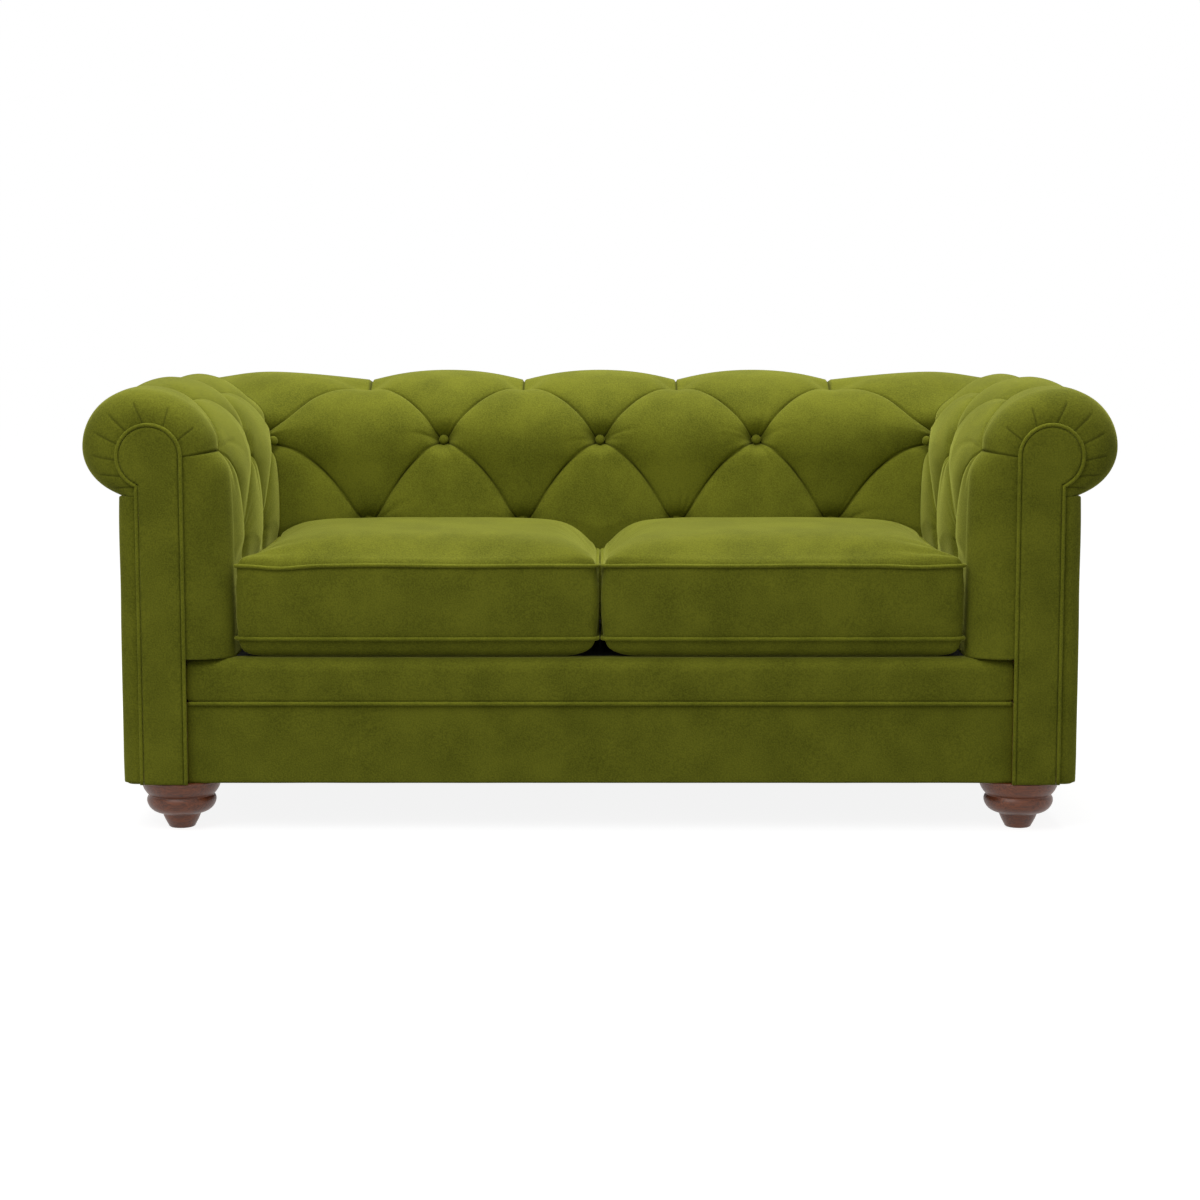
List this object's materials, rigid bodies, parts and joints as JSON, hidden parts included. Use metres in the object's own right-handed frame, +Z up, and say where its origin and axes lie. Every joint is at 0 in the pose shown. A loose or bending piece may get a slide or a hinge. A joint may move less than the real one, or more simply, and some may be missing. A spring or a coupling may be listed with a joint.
{
  "type": "sofa",
  "caption": "Two-seat scroll-arm sofa in olive velvet with a deep-buttoned inside, loose seat cushions, a padded front border and turned wooden feet.",
  "frame": {"origin": "on the floor under the middle of the sofa", "axes": "+X to the viewer's right when facing the sofa, +Y from the front to the back, +Z up"},
  "size_m": [1.804, 0.95, 0.788],
  "materials": {
    "velvet": "matte",
    "velvet_piping": "matte",
    "velvet_buttons": "matte",
    "walnut_stain": "satin",
    "beech": "matte",
    "birch_plywood": "matte",
    "plated_steel": "satin",
    "zip_slider": "satin",
    "zip_tape": "matte",
    "black_cloth": "matte",
    "webbing": "matte",
    "foam": "matte"
  },
  "bodies": {
    "sofa": {"front_rail": "beech", "rear_rail": "beech", "left_side_rail": "beech", "right_side_rail": "beech", "centre_seat_rail": "beech", "back_seat_rail": "beech", "corner_blocks": "beech", "left_scroll_board": "birch_plywood", "right_scroll_board": "birch_plywood", "left_front_post": "beech", "right_front_post": "beech", "left_back_post": "beech", "right_back_post": "beech", "left_arm_top_rail": "beech", "right_arm_top_rail": "beech", "back_top_rail": "beech", "back_roll_rail": "beech", "arm_tack_rails": "beech", "back_tack_rail": "beech", "back_stile": "beech", "seat_springs": "plated_steel", "spring_clips": "plated_steel", "seat_deck": "black_cloth", "back_webbing": "webbing", "inside_back_pad": "velvet", "left_arm_pad": "velvet", "right_arm_pad": "velvet", "outside_back_panel": "velvet", "left_outside_arm_panel": "velvet", "right_outside_arm_panel": "velvet", "left_arm_facing": "velvet", "right_arm_facing": "velvet", "left_facing_piping": "velvet_piping", "right_facing_piping": "velvet_piping", "front_border": "velvet", "border_welt": "velvet_piping", "front_rail_cover": "velvet", "dust_cover": "black_cloth", "back_buttons": "velvet_buttons", "left_arm_buttons": "velvet_buttons", "right_arm_buttons": "velvet_buttons", "front_left_foot": "walnut_stain", "front_right_foot": "walnut_stain", "rear_left_foot": "walnut_stain", "rear_right_foot": "walnut_stain", "foot_bolts": "plated_steel", "foot_tee_nuts": "plated_steel"},
    "left_cushion": {"left_cushion_cover": "velvet", "left_cushion_core": "foam", "left_cushion_piping": "velvet_piping", "left_cushion_zip": "zip_tape"},
    "right_cushion": {"right_cushion_cover": "velvet", "right_cushion_core": "foam", "right_cushion_piping": "velvet_piping", "right_cushion_zip": "zip_tape"},
    "left_zip_slider": {"left_zip_slider": "zip_slider"},
    "right_zip_slider": {"right_zip_slider": "zip_slider"}
  },
  "joints": [
    {"name": "left_cushion_lift", "type": "slide", "parent": "sofa", "child": "left_cushion", "axis": [0, 0, 1], "range_m": [0, 0.5]},
    {"name": "right_cushion_lift", "type": "slide", "parent": "sofa", "child": "right_cushion", "axis": [0, 0, 1], "range_m": [0, 0.5]},
    {"name": "left_zip_pull", "type": "slide", "parent": "left_cushion", "child": "left_zip_slider", "axis": [1, 0, 0], "range_m": [0, 0.394]},
    {"name": "right_zip_pull", "type": "slide", "parent": "right_cushion", "child": "right_zip_slider", "axis": [-1, 0, 0], "range_m": [0, 0.394]}
  ]
}
